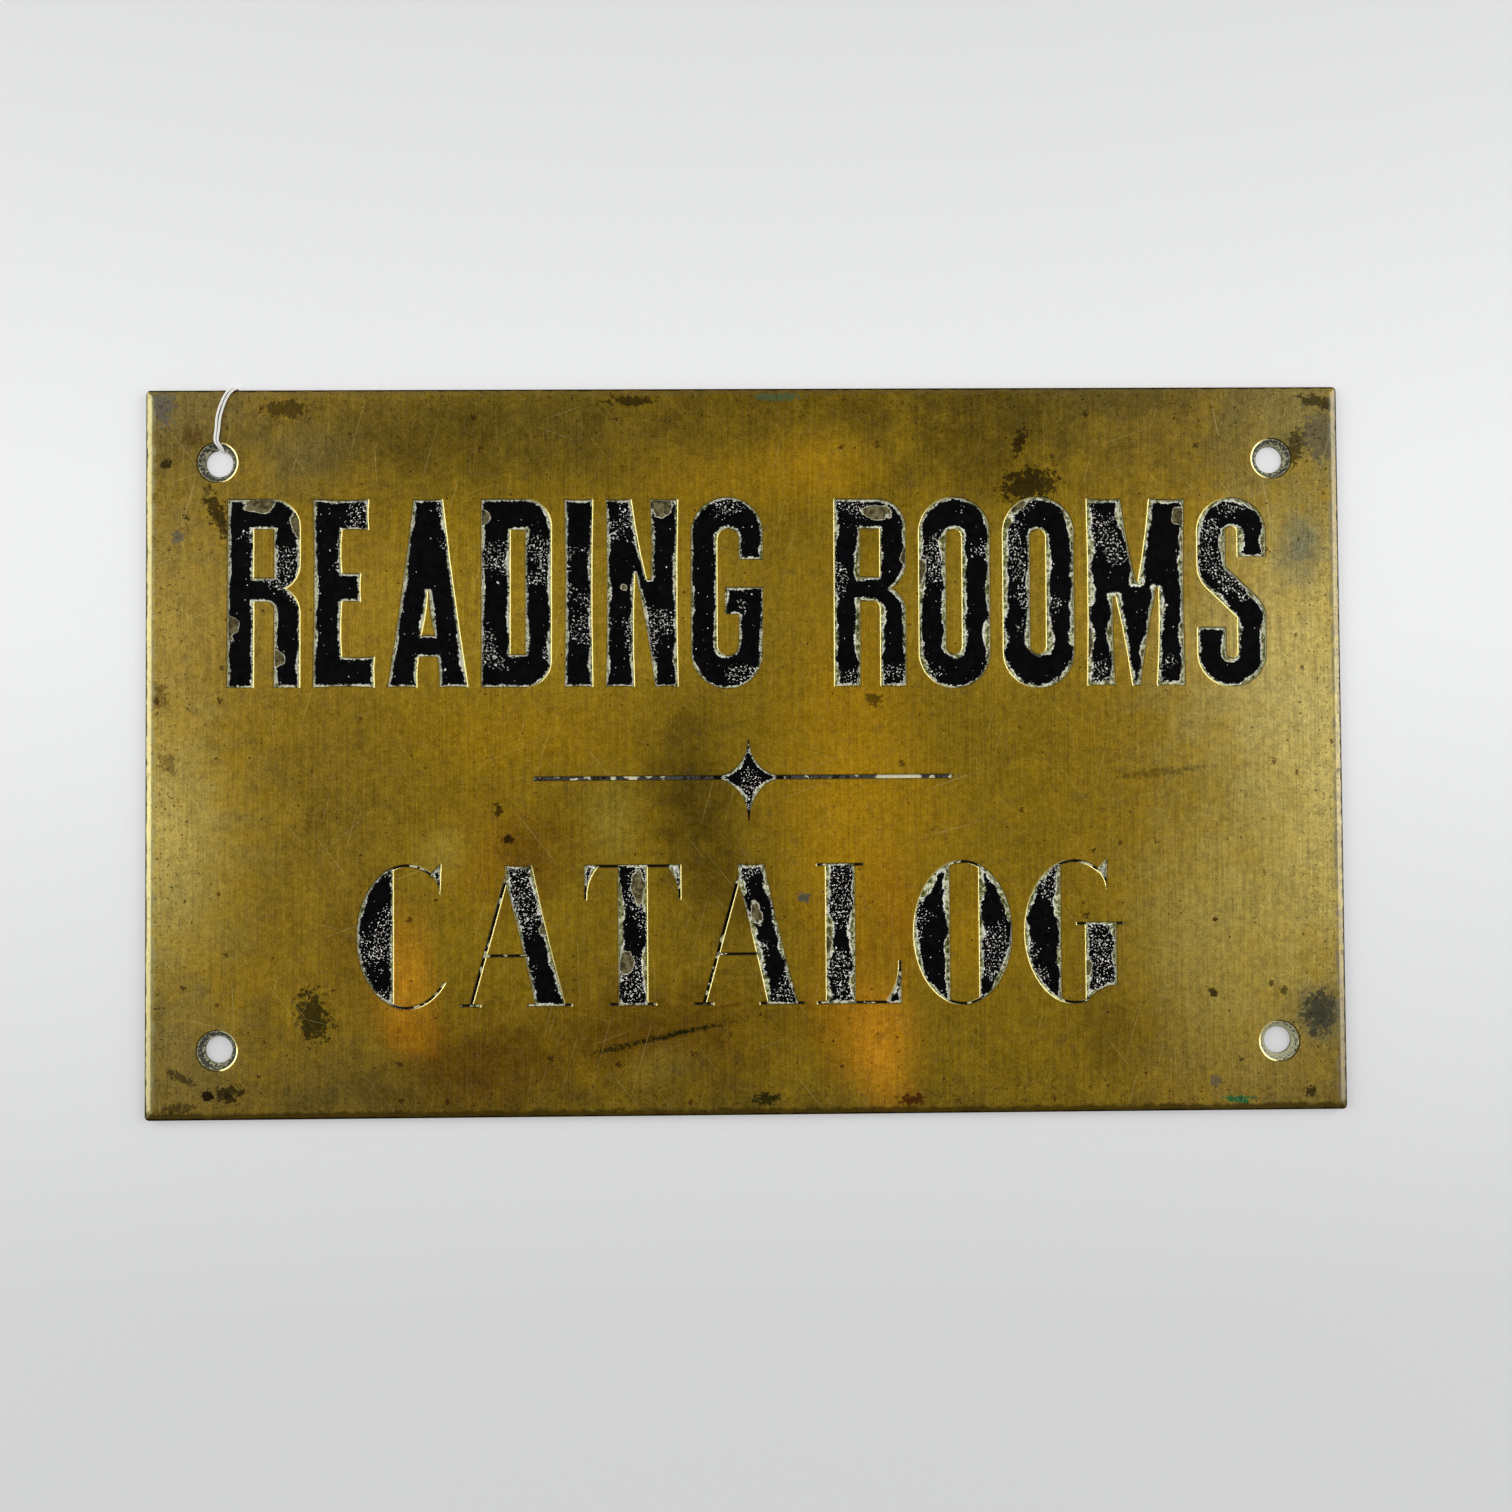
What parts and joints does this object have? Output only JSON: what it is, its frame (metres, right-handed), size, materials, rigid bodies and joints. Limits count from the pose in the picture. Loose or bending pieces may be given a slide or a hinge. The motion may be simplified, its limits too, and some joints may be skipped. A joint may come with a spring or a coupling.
{
  "type": "letter plate",
  "caption": "Flat rectangular brass door plate, engraved with a line of condensed capitals, a star on a rule and a line of fat-face capitals, black-filled, with countersunk corner holes.",
  "frame": {"origin": "centre of the flat back face", "axes": "+X along the lettering, +Y to the tops of the letters, +Z out of the engraved face"},
  "size_m": [0.3, 0.183, 0.0033],
  "materials": {
    "brass": "aged, vertically brushed, spotted",
    "black_filling": "matt black wax, pitted, with pale dried polish along its edges",
    "thread": "twisted white cotton"
  },
  "bodies": {
    "root": {"lower_letter_01_c": "black_filling", "lower_letter_02_a": "black_filling", "lower_letter_03_t": "black_filling", "lower_letter_04_a": "black_filling", "lower_letter_05_l": "black_filling", "lower_letter_06_o": "black_filling", "lower_letter_07_g": "black_filling", "plate": "brass", "rule_left": "black_filling", "rule_right": "black_filling", "star": "black_filling", "thread": "thread", "upper_letter_01_r": "black_filling", "upper_letter_02_e": "black_filling", "upper_letter_03_a": "black_filling", "upper_letter_04_d": "black_filling", "upper_letter_05_i": "black_filling", "upper_letter_06_n": "black_filling", "upper_letter_07_g": "black_filling", "upper_letter_08_r": "black_filling", "upper_letter_09_o": "black_filling", "upper_letter_10_o": "black_filling", "upper_letter_11_m": "black_filling", "upper_letter_12_s": "black_filling"}
  },
  "joints": []
}
